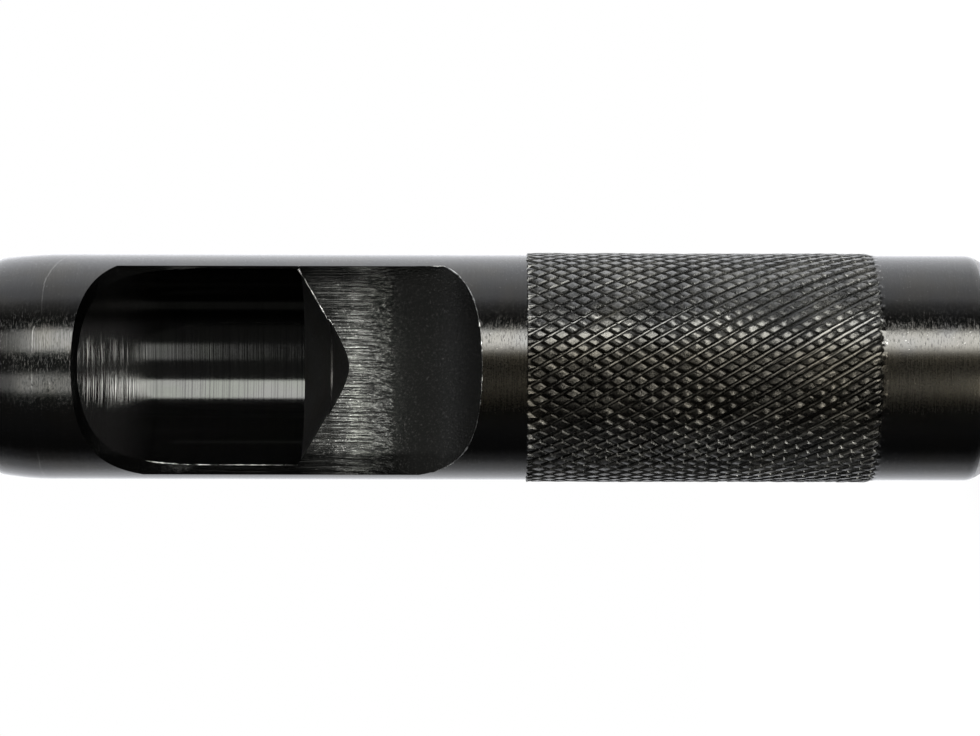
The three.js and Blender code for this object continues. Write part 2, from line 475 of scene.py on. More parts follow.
@dataclass(frozen=True)
class CuttingEnd:
    """The bored and milled end: neck, slug window, tapered nose and cutting edge.

    The taper was ground by hand, so its start wanders: towards the front, to one side, and in a
    ripple of three. The bright line beside it, partly a worn line and partly a painted highlight of
    the taper's edge, falls away round the tool, by the fall in millimetres and the two angles
    between which it happens.
    """

    sizes: PunchSizes
    neck_rings: int = 16
    taper_steps: int = 10
    bore_steps: int = 5
    arc_steps: int = 64
    overrun: float = 6.0
    edge_ease: float = 0.02
    cap_slack: float = 0.01
    skin_depth: float = 1.1
    shift_fade: float = 4.0
    front_shift: float = 0.9
    side_shift: float = -0.75
    ripple_shift: float = 0.25
    ripple_turn: float = 0.6
    crease_lift: float = 1.7
    crease_falls: tuple[Triple, ...] = (
        (0.75, 18, 27), (2.0, 45, 86), (2.75, -60, -170),
    )

    def taper_shift(self, x: float, y: float) -> float:
        """How much lower or higher the hand-ground taper starts at one side.

        Args:
            x: place across the tool, in millimetres.
            y: the same, towards the back.

        Returns:
            The shift along the tool, in millimetres.
        """
        angle = math.atan2(x, -y)
        ripple = self.ripple_shift * math.cos(3 * angle + self.ripple_turn)
        return self.front_shift * math.cos(angle) + self.side_shift * math.sin(angle) + ripple

    def crease_height(self, x: float, y: float) -> float:
        """Height of the worn line near the start of the taper.

        Args:
            x: place across the tool, in millimetres.
            y: the same, towards the back.

        Returns:
            The height in millimetres.
        """
        angle = math.degrees(math.atan2(x, -y))
        falls = sum(fall * smoothstep(low, high, angle) for fall, low, high in self.crease_falls)
        return self.sizes.taper_start + self.crease_lift - falls

    def outline(self) -> Profile:
        """Draws the turned profile: up the outside, over the edge, down the bore to its end.

        Returns:
            Radius and height of each point.
        """
        sizes = self.sizes
        body, bevel = sizes.body_radius, sizes.bevel_start
        start = Vector((body, sizes.taper_start))
        middle = Vector((body, (sizes.taper_start + bevel) / 2))
        end = Vector((body - sizes.taper_depth, bevel))
        taper = bezier(start, middle, end, self.taper_steps)
        low = sizes.knurl_end + sizes.knurl_shoulder
        stretch = (sizes.taper_start - low) / self.neck_rings
        slope = math.tan(sizes.drill_point_angle / 2)
        pilot = sizes.pilot_diameter / 2
        pilot_top = sizes.bore_end - (sizes.bore_radius - pilot) / slope
        pilot_bottom = pilot_top - sizes.pilot_step
        land_end = sizes.overall - sizes.land_length
        bore_low = land_end - sizes.relief_length
        bore_stretch = (sizes.bore_end - bore_low) / self.bore_steps
        flat = sizes.edge_radius + sizes.edge_flat
        return [
            *[(body, low + stretch * step) for step in range(self.neck_rings)],
            *taper,
            (flat, sizes.overall - self.edge_ease),
            (flat - self.edge_ease, sizes.overall),
            (sizes.edge_radius, sizes.overall),
            (sizes.edge_radius, land_end),
            *[(sizes.bore_radius, bore_low + bore_stretch * step)
              for step in range(self.bore_steps + 1)],
            (pilot, pilot_top), (pilot, pilot_bottom), (0, pilot_bottom - pilot / slope),
        ]

    def bar(self) -> bmesh.types.BMesh:
        """Turns and bores the bar, before the window is milled.

        Returns:
            The bar as a closed solid.
        """
        sizes = self.sizes
        bm = spun(self.outline())
        low = sizes.knurl_end + sizes.knurl_shoulder
        bmesh.ops.edgeloop_fill(bm, edges=open_ring(bm, low, sizes.knurl_shoulder / 2))
        fade_start = sizes.taper_start - self.shift_fade
        for vert in bm.verts:
            outside = math.hypot(vert.co.x, vert.co.y) > sizes.body_radius - self.skin_depth
            if outside and fade_start < vert.co.z < sizes.bevel_start + COARSE_MERGE:
                rising = smoothstep(fade_start, sizes.taper_start, vert.co.z)
                falling = smoothstep(sizes.bevel_start, sizes.taper_start, vert.co.z)
                vert.co.z += self.taper_shift(vert.co.x, vert.co.y) * rising * falling
        bmesh.ops.recalc_face_normals(bm, faces=bm.faces[:])
        return bm

    def cutter(self) -> bmesh.types.BMesh:
        """Makes the space that the window cutter sweeps: a block whose inner ends are rounded.

        Returns:
            The block as a closed solid.
        """
        sizes = self.sizes
        width = 2 * (sizes.body_radius - sizes.side_lip)
        length = sizes.floor_length + 2 * sizes.cutter_radius
        depth = sizes.cutter_radius + self.overrun
        bm = bmesh.new()
        bmesh.ops.create_cube(bm, size=1)
        bmesh.ops.scale(bm, vec=(width, depth, length), verts=bm.verts[:])
        place = (-sizes.window_shift, -sizes.floor_from_axis - depth / 2, sizes.window_centre)
        bmesh.ops.translate(bm, vec=place, verts=bm.verts[:])
        inner = [
            edge for edge in bm.edges
            if all(abs(vert.co.y + sizes.floor_from_axis) < FINE_MERGE for vert in edge.verts)
            and abs(edge.verts[0].co.z - edge.verts[1].co.z) < FINE_MERGE
        ]
        bmesh.ops.bevel(
            bm, geom=inner, offset=sizes.cutter_radius, offset_type="OFFSET",
            segments=self.arc_steps, profile=0.5, affect="EDGES", material=-1,
        )
        bmesh.ops.recalc_face_normals(bm, faces=bm.faces[:])
        return bm

    def build(self) -> bmesh.types.BMesh:
        """Mills the window out of the bar.

        Returns:
            The surface, open at the bottom, where the knurl joins it.
        """
        bar = bpy.data.objects.new("bar", mesh_of(self.bar(), "bar"))
        cutter = bpy.data.objects.new("cutter", mesh_of(self.cutter(), "cutter"))
        for blank in (bar, cutter):
            bpy.context.scene.collection.objects.link(blank)
        milling = bar.modifiers.new("milling", "BOOLEAN")
        milling.operation = "DIFFERENCE"
        milling.solver = "EXACT"
        milling.object = cutter
        bpy.context.view_layer.update()
        done = bar.evaluated_get(bpy.context.evaluated_depsgraph_get())
        bm = bmesh.new()
        bm.from_mesh(done.to_mesh())
        done.to_mesh_clear()
        for blank in (bar, cutter):
            mesh = blank.data
            bpy.data.objects.remove(blank)
            bpy.data.meshes.remove(mesh)
        top = self.sizes.knurl_end + self.sizes.knurl_shoulder + self.cap_slack
        cap = [face for face in bm.faces if all(vert.co.z < top for vert in face.verts)]
        bmesh.ops.delete(bm, geom=cap, context="FACES_ONLY")
        bmesh.ops.dissolve_degenerate(bm, dist=FINE_MERGE, edges=bm.edges[:])
        return bm


class Wiring:
    """Adds nodes to one shader tree and wires them together."""

    def __init__(self, tree: bpy.types.NodeTree) -> None:
        """Starts from an empty tree."""
        self.tree = tree
        tree.nodes.clear()

    def add(self, kind: str, inputs: dict[int | str, object] | None = None,
            **settings: object) -> bpy.types.Node:
        """Adds one node.

        Args:
            kind: the node's type without its prefix.
            inputs: a value or another node's socket for each input, by name or number.
            settings: properties of the node itself.

        Returns:
            The new node.
        """
        node = self.tree.nodes.new("ShaderNode" + kind)
        for name, value in settings.items():
            setattr(node, name, value)
        for name, value in (inputs or {}).items():
            if isinstance(value, bpy.types.NodeSocket):
                self.tree.links.new(value, node.inputs[name])
            else:
                node.inputs[name].default_value = value
        return node

    def math(self, operation: str, *values: object) -> Socket:
        """Adds a Math node and returns its result."""
        return self.add("Math", dict(enumerate(values)), operation=operation).outputs[0]

    def times(self, product: object, *others: object) -> Socket:
        """Multiplies values.

        Args:
            product: the first value, or its socket.
            others: the values or sockets to multiply it by, in order.

        Returns:
            The product.
        """
        for other in others:
            product = self.math("MULTIPLY", product, other)
        return product

    def total(self, total: object, *others: object) -> Socket:
        """Adds values up.

        Args:
            total: the first value, or its socket.
            others: the values or sockets to add to it, in order.

        Returns:
            The sum.
        """
        for other in others:
            total = self.math("ADD", total, other)
        return total

    def attribute(self, name: str) -> Socket:
        """Reads a value that the mesh carries at its points."""
        return self.add("Attribute", attribute_name=name).outputs["Fac"]

    def stretched(self, vector: Socket, scale: Socket | Triple) -> Socket:
        """Scales a vector by each axis and returns it."""
        return self.add("VectorMath", {0: vector, 1: scale}, operation="MULTIPLY").outputs[0]

    def noise(self, vector: Socket, scale: float, detail: float) -> Socket:
        """Adds a Noise Texture and returns its grey value."""
        inputs = {"Vector": vector, "Scale": scale, "Detail": detail}
        return self.add("TexNoise", inputs).outputs[0]

    def between(self, value: Socket, low: float, high: float, to_low: float = 0.0,
                to_high: float = 1.0) -> Socket:
        """Maps a range of values smoothly onto another one.

        Args:
            value: the value to map.
            low: value that gives to_low, with all that lies beyond it.
            high: value that gives to_high, with all that lies beyond it.
            to_low: result at low.
            to_high: result at high.

        Returns:
            The mapped value.
        """
        inputs = {0: value, 1: low, 2: high, 3: to_low, 4: to_high}
        return self.add("MapRange", inputs, interpolation_type="SMOOTHSTEP").outputs[0]

    def blend(self, share: object, first: object, second: object) -> Socket:
        """Mixes two colours and returns the mixture."""
        return self.add("Mix", {0: share, 6: first, 7: second}, data_type="RGBA").outputs[2]

    def mixed(self, share: Socket, first: Socket, second: float) -> Socket:
        """Mixes two values and returns the mixture."""
        return self.add("Mix", {0: share, 2: first, 3: second}).outputs[0]

    def tinted(self, colour: Socket, share: Socket, tint: Colour) -> Socket:
        """Multiplies a colour by a tint where the share is 1, and leaves it where it is 0."""
        return self.stretched(colour, self.blend(share, WHITE, tint))

    def ramp(self, value: Socket, stops: list[Pair]) -> Socket:
        """Reads a grey value off a ramp.

        Args:
            value: place on the ramp, from 0 to 1.
            stops: place and grey level of each stop.

        Returns:
            The grey colour.
        """
        node = self.add("ValToRGB", {0: value})
        band = node.color_ramp
        band.interpolation = "EASE"
        while len(band.elements) > 1:
            band.elements.remove(band.elements[-1])
        for index, (place, level) in enumerate(stops):
            stop = band.elements[0] if index == 0 else band.elements.new(place)
            stop.position = place
            stop.color = (level, level, level, 1)
        return node.outputs[0]


class Axis(IntEnum):
    """The ways in which a place on the tool is told, in millimetres."""

    ACROSS = 0
    BACK = 1
    ALONG = 2


Border = tuple[Axis, float, float, float, float]


@dataclass(frozen=True)
class Patch:
    """A part of the surface darkened by its tint as painted shade, with soft borders.

    A border names an axis, the two places between which the patch fades, and its strength at
    each. The strengths of all borders are multiplied.
    """

    borders: tuple[Border, ...]
    tint: Colour = BLACK
    relief_kept: float = 1.0
    roughness_added: float = 0.0

    def strength(self, wiring: Wiring, places: list[Socket]) -> Socket:
        """Tells how strong the patch is at a place.

        Args:
            wiring: the tree of the finish.
            places: the parts of the place, by axis.

        Returns:
            1 inside the patch and 0 away from it.
        """
        return wiring.times(*[wiring.between(places[axis], *fade) for axis, *fade in self.borders])


@dataclass
class Ground:
    """The sockets that the parts of one finish share."""

    place: Socket
    places: list[Socket]
    clouds: Socket
    grain: Socket
    marks: Socket
    mark_relief: Socket
    groove: Socket | None = None
    chatter: object = 1.0
    dulled: object = 1.0
    # Painted light: how far the colour is lifted towards bare steel
    painted_light: object = 0.0
    strengths: list[Socket] = field(default_factory=list)


@dataclass(frozen=True)
class SteelFinish:
    """Steel with an oxide skin: its colour, gloss, tool marks, bright scratches and pits.

    Marks and scratches are stretched by direction, in cycles for each millimetre along X, Y, Z.
    Depths are shares of the bump's distance, and pairs of edges are levels of noise between
    which a pattern sets in.
    """

    name: str
    colour: Colour = (0.065, 0.065, 0.064, 1)
    tint: Colour = (0.069, 0.067, 0.062, 1)
    bare: Colour = (0.50, 0.49, 0.47, 1)
    metallic: float = 1.0
    roughness: float = 0.13
    roughness_spread: float = 0.04
    roughness_edges: Pair = (0.8, 1.25)
    dark_share: float = 0.3
    cloud_scale: float = 0.22
    cloud_edges: Pair = (0.35, 0.7)
    marks: Triple = (0.25, 0.25, 9.0)
    mark_detail: float = 4.0
    mark_depth: float = 0.06
    mark_contrast: float = 0.12
    mark_edges: Pair = (0.35, 0.68)
    marks_between: Pair | None = None
    marks_fade: Pair = (1.0, 3.0)
    marks_beyond: Pair = (0.32, 0.22)
    marks_ragged: float = 1.6
    chatter_from: float | None = None
    chatter_fade: float = 5.0
    chatter_gain: float = 1.0
    chatter_dulls: float = 1.6
    # Painted light: how far the colour is lifted towards bare steel where the bore chattered
    chatter_painted_light: float = 0.20
    grain: float = 3.2
    grain_depth: float = 0.030
    smooth_grooves: bool = False
    hairs: Triple = (2.0, 2.0, 11.0)
    hair_lean: Triple = (0.12, 0.10, 0.0)
    hair_edges: Pair = (0.55, 0.75)
    hair_depth: float = 0.05
    specks: float = 0.70
    speck_scale: float = 5.5
    speck_strength: float = 0.3
    pits: float = 0.34
    pit_marks: Triple = (9.0, 9.0, 21.6)
    pit_strength: float = 0.2
    pit_colour: Colour = (0.01, 0.01, 0.01, 1)
    spot_rim: float = 0.06
    wear: float = 0.6
    wear_edges: Pair = (0.50, 0.66)
    # The bright line where the taper starts is partly a painted highlight
    has_taper: bool = False
    line_edges: Pair = (0.08, 0.02)
    line_clouds: Pair = (0.42, 0.56)
    line_places: Pair = (2.0, 7.0)
    line_strength: float = 0.17
    # Patches of painted shade
    patches: tuple[Patch, ...] = ()
    bump_distance: float = 0.2 * MM

    def ground(self, wiring: Wiring) -> Ground:
        """Lays out the patterns that more than one part of the finish reads.

        Args:
            wiring: the tree of the finish.

        Returns:
            The shared sockets.
        """
        place = wiring.stretched(wiring.add("TexCoord").outputs["Object"], (1 / MM,) * 3)
        places = list(wiring.add("SeparateXYZ", {0: place}).outputs)
        height = places[Axis.ALONG]
        grain = wiring.noise(place, self.grain, 5)
        marks = wiring.noise(wiring.stretched(place, self.marks), 1.0, self.mark_detail)
        relief = wiring.times(wiring.math("SUBTRACT", marks, 0.5), self.mark_depth)
        if self.marks_between:
            # The cutter's marks start at a ragged line and thin out higher up; where they are thin,
            # the colour darkens towards its dark share
            (low, high), (below, above) = self.marks_between, self.marks_beyond
            ragged = wiring.total(height, wiring.times(grain, self.marks_ragged))
            kept = wiring.math(
                "MINIMUM", wiring.between(ragged, low, low + self.marks_fade[0], below, 1.0),
                wiring.between(ragged, high, high + self.marks_fade[1], 1.0, above),
            )
            marks, relief = wiring.times(marks, kept), wiring.times(relief, kept)
        ground = Ground(
            place, places, wiring.noise(place, self.cloud_scale, 4), grain, marks, relief,
            strengths=[patch.strength(wiring, places) for patch in self.patches],
        )
        if self.smooth_grooves:
            ground.groove = wiring.attribute("groove")
        if self.chatter_from is not None:
            # The boring bar chattered above this height, and there the bore's colour is also lifted
            # towards bare steel as painted light
            reach = (height, self.chatter_from, self.chatter_from + self.chatter_fade)
            ground.chatter = wiring.between(*reach, 1.0, self.chatter_gain)
            ground.dulled = wiring.between(*reach, 1.0, self.chatter_dulls)
            ground.painted_light = wiring.between(*reach, 0.0, self.chatter_painted_light)
        return ground

    def coloured(self, wiring: Wiring, ground: Ground) -> Socket:
        """Mixes the colour.

        Args:
            wiring: the tree of the finish.
            ground: its shared sockets.

        Returns:
            The colour.
        """
        clouds = wiring.between(ground.clouds, *self.cloud_edges)
        colour = wiring.blend(clouds, self.colour, self.tint)
        dark = (*(self.dark_share * level for level in self.colour[:3]), 1)
        shade = wiring.between(ground.marks, *self.mark_edges, self.mark_contrast, 0.0)
        colour = wiring.blend(shade, colour, dark)
        if self.smooth_grooves:
            # The flanks between the points and the grooves are darker than the groove floors and
            # the worn points
            floor_or_point = wiring.math("MAXIMUM", ground.groove, wiring.attribute("wear"))
            colour = wiring.blend(wiring.between(floor_or_point, 0.0, 0.7, 0.25, 0.0), colour, dark)
        fine = wiring.noise(wiring.stretched(ground.place, self.pit_marks), 1.0, 3)
        pits = wiring.between(fine, self.pits - self.spot_rim, self.pits, self.pit_strength, 0.0)
        colour = wiring.blend(pits, colour, self.pit_colour)
        colour = wiring.blend(self.bared(wiring, ground), colour, self.bare)
        # The painted shade of each patch
        for patch, strength in zip(self.patches, ground.strengths):
            colour = wiring.tinted(colour, strength, patch.tint)
        return colour

    def bared(self, wiring: Wiring, ground: Ground) -> Socket:
        """Tells where bare metal shows: in specks, on worn points, along the taper's line, which is
        partly a painted highlight, and in the chattered bore as painted light.

        Args:
            wiring: the tree of the finish.
            ground: its shared sockets.

        Returns:
            How bare the metal is, from 0 to 1.
        """
        specks = wiring.noise(ground.place, self.speck_scale, 2)
        reach = (self.specks, self.specks + self.spot_rim)
        bared = wiring.between(specks, *reach, 0.0, self.speck_strength)
        if self.wear > 0:
            patchy = wiring.between(ground.grain, *self.wear_edges, 0.0, self.wear)
            worn = wiring.times(wiring.attribute("wear"), patchy)
            bared = wiring.math("MAXIMUM", bared, worn)
        if self.has_taper:
            # A thin bright line where the nose starts to taper, strongest at the front: partly a
            # worn line, partly a painted highlight of the taper's edge
            wander = wiring.times(wiring.math("SUBTRACT", ground.clouds, 0.5), 0.5)
            wander = wiring.total(wander, wiring.times(ground.grain, 0.25))
            away = wiring.math("ABSOLUTE", wiring.total(wiring.attribute("taper"), wander))
            line = wiring.times(
                wiring.between(away, *self.line_edges, 0.0, self.line_strength),
                wiring.between(ground.clouds, *self.line_clouds, 0.2, 1.0),
                wiring.between(ground.places[Axis.BACK], *self.line_places, 1.0, 0.1),
            )
            bared = wiring.math("MAXIMUM", bared, line)
        # Painted light lifts the colour towards bare steel as well
        return wiring.math("MAXIMUM", bared, ground.painted_light)

    def relief(self, wiring: Wiring, ground: Ground) -> Socket:
        """Adds up the height of tool marks, grain and hairline scratches.

        Args:
            wiring: the tree of the finish.
            ground: its shared sockets.

        Returns:
            The height as a share of the bump's distance.
        """
        # Hairline scratches lie mostly round the tool, each a little askew
        lines = {"Vector": ground.place, "Rotation": self.hair_lean, "Scale": self.hairs}
        leaning = wiring.add("Mapping", lines).outputs[0]
        hairs = wiring.between(wiring.noise(leaning, 1.0, 5), *self.hair_edges)
        grained = wiring.times(ground.grain, self.grain_depth, ground.chatter)
        if self.smooth_grooves:
            grained = wiring.times(grained, wiring.between(ground.groove, 0.0, 0.8, 1.0, 0.15))
        relief = wiring.total(
            wiring.times(ground.mark_relief, ground.chatter), grained,
            wiring.times(hairs, self.hair_depth),
        )
        for patch, strength in zip(self.patches, ground.strengths):
            if patch.relief_kept < 1:
                kept = wiring.between(strength, 0.0, 1.0, 1.0, patch.relief_kept)
                relief = wiring.times(relief, kept)
        return relief

    def roughened(self, wiring: Wiring, ground: Ground) -> Socket:
        """Works out the roughness.

        Args:
            wiring: the tree of the finish.
            ground: its shared sockets.

        Returns:
            The roughness.
        """
        spread = (self.roughness - self.roughness_spread, self.roughness + self.roughness_spread)
        texture = wiring.total(ground.grain, ground.marks)
        roughness = wiring.between(texture, *self.roughness_edges, *spread)
        roughness = wiring.times(roughness, ground.dulled)
        if self.smooth_grooves:
            polish = wiring.between(ground.groove, 0.2, 0.9, 1.0, 0.7)
            roughness = wiring.times(roughness, polish)
        for patch, strength in zip(self.patches, ground.strengths):
            if patch.roughness_added > 0:
                added = wiring.times(strength, patch.roughness_added)
                roughness = wiring.total(roughness, added)
        return roughness

    def material(self) -> bpy.types.Material:
        """Builds the finish as a node material.

        Returns:
            The material.
        """
        material = bpy.data.materials.new(self.name)
        material.use_nodes = True
        wiring = Wiring(material.node_tree)
        ground = self.ground(wiring)
        height = self.relief(wiring, ground)
        bump = wiring.add("Bump", {"Height": height, "Strength": 1.0,
                                   "Distance": self.bump_distance})
        shader = wiring.add("BsdfPrincipled", {
            "Base Color": self.coloured(wiring, ground), "Metallic": self.metallic,
            "Roughness": self.roughened(wiring, ground), "Normal": bump.outputs[0],
        })
        wiring.add("OutputMaterial", {"Surface": shader.outputs[0]})
        return material


@dataclass(frozen=True)
class Burr:
    """The thin bright bead that a cutter pushes up along the edge of what it cuts."""

    name: str
    radius: float
    swelling: float = 3.6
    swelling_scale: float = 1.7
    thinnest: float = 0.2
    spacing: float = 0.22
    fewest_points: int = 4

    def chains(self, edges: Edges) -> list[list[Vector]]:
        """Strings edges into runs of points, in an order that is the same in each run.

        Args:
            edges: edges that meet end to end.

        Returns:
            The points of each run in order, no closer than the spacing.
        """
        waiting = dict.fromkeys(sorted(edges, key=middle_of))
        runs = []
        while waiting:
            edge, _ = waiting.popitem()
            run = sorted(edge.verts, key=lambda vert: tuple(vert.co))
            for _ in range(2):
                run.reverse()
                while nexts := [edge for edge in run[-1].link_edges if edge in waiting]:
                    step = min(nexts, key=middle_of)
                    waiting.pop(step)
                    run.append(step.other_vert(run[-1]))
            points = [run[0].co.copy()]
            for vert in run[1:]:
                if (vert.co - points[-1]).length >= self.spacing or vert is run[-1]:
                    points.append(vert.co.copy())
            runs.append(points)
        return runs

    def tube(self, edges: Edges) -> bpy.types.Mesh:
        """Makes the bead's skin from a curve that swells and thins as it goes.

        Args:
            edges: the edges that it follows, in millimetres.

        Returns:
            The mesh in metres.
        """
        curve = bpy.data.curves.new(self.name, "CURVE")
        curve.dimensions = "3D"
        curve.bevel_depth = self.radius * MM
        curve.bevel_resolution = 1
        curve.use_fill_caps = True
        for points in self.chains(edges):
            if len(points) < self.fewest_points:
                continue
            closed = (points[0] - points[-1]).length < 2 * self.spacing
            if closed:
                points = points[:-1]
            spline = curve.splines.new("POLY")
            spline.points.add(len(points) - 1)
            spline.use_cyclic_u = closed
            for place, point in zip(spline.points, points):
                swelling = self.swelling * noise.noise(point * self.swelling_scale)
                place.co = (*(point * MM), 1)
                place.radius = max(1 + swelling, self.thinnest)
        shape = bpy.data.objects.new(self.name, curve)
        mesh = bpy.data.meshes.new_from_object(shape)
        bpy.data.objects.remove(shape)
        bpy.data.curves.remove(curve)
        return mesh

    def build(self, edges: Edges) -> bpy.types.Object:
        """Lays the bead along the given edges.

        Args:
            edges: the edges that it follows, in millimetres.

        Returns:
            The bead as a mesh object, in metres.
        """
        mesh = self.tube(edges)
        bm = bmesh.new()
        bm.from_mesh(mesh)
        bmesh.ops.remove_doubles(bm, verts=bm.verts[:], dist=FINE_MERGE * MM)
        bmesh.ops.recalc_face_normals(bm, faces=bm.faces[:])
        for face in bm.faces:
            face.smooth = True
            face.material_index = 0
        bm.to_mesh(mesh)
        bm.free()
        bead = bpy.data.objects.new(self.name, mesh)
        bpy.context.scene.collection.objects.link(bead)
        mesh.materials.clear()
        mesh.materials.append(FINISHES[Skin.BURRED].material())
        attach(bead, "root")
        return bead


@dataclass(frozen=True)
class Punch:
    """The dressed tool: its three stretches joined into one closed piece and finished.

    A lean is how far a face looks away from the axis, from -1, straight inwards, to 1. Reaches,
    rims and slacks are millimetres on either side of a size of the tool.
    """

    sizes: PunchSizes = field(default_factory=PunchSizes)
    sharp_from: float = math.radians(30)
    knurl_sharp_from: float = math.radians(22)
    outside_lean: float = 0.5
    square_lean: float = 0.9
    cone_rise: float = 0.3
    cone_lean: float = 0.2
    cone_reach: float = 0.35
    face_reach: float = 4.0
    chamfer_rim: float = 0.2
    knurl_rim: float = 0.4
    neck_rim: float = 1.0
    skin_depth: float = 1.65
    edge_slack: float = 0.05
    wall_slack: float = 0.02
    bore_slack: float = 0.01
    upper_burr_from: float = 4.2
    lower_burr_length: float = 16.0
    rim_burr_from: float = 15.51
    upper_burr: Burr = Burr("upper_mouth_burr", radius=0.075)
    lower_burr: Burr = Burr("lower_mouth_burr", radius=0.035)
    rim_burr: Burr = Burr("window_rim_burr", radius=0.035)

    def joined(self) -> bmesh.types.BMesh:
        """Joins the strike end, the knurl and the cutting end ring to ring.

        Returns:
            One closed surface in millimetres.
        """
        sizes = self.sizes
        bm = KnurlBand(sizes).build()
        for part in (StrikeEnd(sizes).build(), CuttingEnd(sizes).build()):
            mesh = mesh_of(part, "stretch")
            bm.from_mesh(mesh)
            bpy.data.meshes.remove(mesh)
        gap = sizes.knurl_shoulder
        for height in (sizes.band_length - gap / 2, sizes.knurl_end + gap / 2):
            bmesh.ops.bridge_loops(bm, edges=open_ring(bm, height, gap))
        bmesh.ops.recalc_face_normals(bm, faces=bm.faces[:])
        return bm

    def skin_at(self, face: bmesh.types.BMFace) -> Skin:
        """Tells which finish a face has.

        Args:
            face: one face of the joined tool, in millimetres.

        Returns:
            The finish.
        """
        sizes = self.sizes
        middle = face.calc_center_median()
        height, radius = middle.z, math.hypot(middle.x, middle.y)
        lean = (face.normal.x * middle.x + face.normal.y * middle.y) / max(radius, 1e-6)
        faces_out = lean > self.outside_lean
        on_strike_face = height < self.face_reach and face.normal.z < -self.outside_lean
        if height < sizes.chamfer_length - self.chamfer_rim or on_strike_face:
            return Skin.BARED
        if sizes.band_length + self.knurl_rim < height < sizes.knurl_end:
            return Skin.KNURLED
        outside = faces_out and radius > sizes.edge_radius + self.edge_slack
        if height < sizes.knurl_end + self.neck_rim or outside:
            if faces_out and radius > sizes.body_radius - self.skin_depth:
                return Skin.TURNED
        if height > sizes.overall - self.edge_slack:
            return Skin.BARED
        across = abs(abs(middle.x + sizes.window_shift) - (sizes.body_radius - sizes.side_lip))
        if across < self.wall_slack and abs(face.normal.x) > self.square_lean:
            return Skin.WALLED
        if lean < -self.square_lean and height > sizes.bore_end - self.bore_slack:
            return Skin.BORED
        if height < sizes.bore_end:
            slopes_up = face.normal.z > self.cone_rise and abs(lean) > self.cone_lean
            if slopes_up and self.on_drill_point(middle):
                return Skin.DRILLED
            if lean < -self.square_lean and radius < sizes.pilot_diameter / 2 + self.bore_slack:
                return Skin.DRILLED
        return Skin.MILLED

    def on_drill_point(self, spot: Vector) -> bool:
        """Tells whether a place lies on the cone that the drill left.

        Args:
            spot: the place, in millimetres.

        Returns:
            True where it does.
        """
        sizes = self.sizes
        slope = math.tan(sizes.drill_point_angle / 2)
        radius = math.hypot(spot.x, spot.y)
        cone = sizes.bore_end - (sizes.bore_radius - radius) / slope
        return abs(spot.z - cone) < self.cone_reach

    def borders(self, bm: bmesh.types.BMesh, first: Skins, second: Skins) -> Edges:
        """Finds the edges where two kinds of surface meet.

        Args:
            bm: the joined tool with its finishes told.
            first: the finishes on one side of the edge.
            second: the finishes on its other side.

        Returns:
            The edges.
        """
        found = []
        for edge in bm.edges:
            sides = [face.material_index for face in edge.link_faces]
            if len(sides) == 2 and (
                sides[0] in first and sides[1] in second or sides[1] in first and sides[0] in second
            ):
                found.append(edge)
        return found

    def lay_burrs(self, bm: bmesh.types.BMesh) -> list[bpy.types.Object]:
        """Lays the burrs where they stand out: round the drill's point and the window's lower end.

        Args:
            bm: the joined tool in millimetres, with its finishes told.

        Returns:
            The beads.
        """
        sizes = self.sizes
        inside = (Skin.MILLED, Skin.WALLED)
        lower_end = sizes.bore_end + self.lower_burr_length
        upper, lower = [], []
        for edge in self.borders(bm, (Skin.BORED, Skin.DRILLED), inside):
            spot = (edge.verts[0].co + edge.verts[1].co) / 2
            if spot.z < sizes.bore_end + self.edge_slack and spot.x > self.upper_burr_from:
                upper.append(edge)
            elif sizes.bore_end < spot.z < lower_end and spot.x < 0:
                lower.append(edge)
        rim_top = sizes.window_centre - self.rim_burr_from
        rim = [edge for edge in self.borders(bm, (Skin.TURNED,), inside)
               if min(vert.co.z for vert in edge.verts) < rim_top]
        laid = ((self.upper_burr, upper), (self.lower_burr, lower), (self.rim_burr, rim))
        return [burr.build(edges) for burr, edges in laid]

    def is_soft(self, edge: bmesh.types.BMEdge) -> bool:
        """Whether an edge is shaded as a smooth bend.

        Args:
            edge: one edge of the joined tool, in millimetres.

        Returns:
            False for sharp corners and for the line where the knurl stops.
        """
        sizes = self.sizes
        stop = sizes.knurl_end + sizes.knurl_shoulder
        if all(abs(vert.co.z - stop) < 2 * COARSE_MERGE for vert in edge.verts):
            return False
        in_knurl = all(sizes.band_length < vert.co.z < sizes.knurl_end for vert in edge.verts)
        limit = self.knurl_sharp_from if in_knurl else self.sharp_from
        return edge.is_manifold and edge.calc_face_angle(0) < limit

    def build(self) -> list[bpy.types.Object]:
        """Makes the tool and its burrs, and dresses them.

        Returns:
            The finished pieces.
        """
        bm = self.joined()
        for face in bm.faces:
            face.smooth = True
            face.material_index = self.skin_at(face)
        for edge in bm.edges:
            edge.smooth = self.is_soft(edge)
        taper = bm.verts.layers.float.new("taper")
        end = CuttingEnd(self.sizes)
        for vert in bm.verts:
            vert[taper] = vert.co.z - end.crease_height(vert.co.x, vert.co.y)
        beads = self.lay_burrs(bm)
        bmesh.ops.scale(bm, vec=(MM, MM, MM), verts=bm.verts[:])
        punch = bpy.data.objects.new("hollow_punch", mesh_of(bm, "hollow_punch"))
        bpy.context.scene.collection.objects.link(punch)
        for finish in FINISHES:
            punch.data.materials.append(finish.material())
        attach(punch, "root")
        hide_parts("punch_body")
        return [*beads, punch]
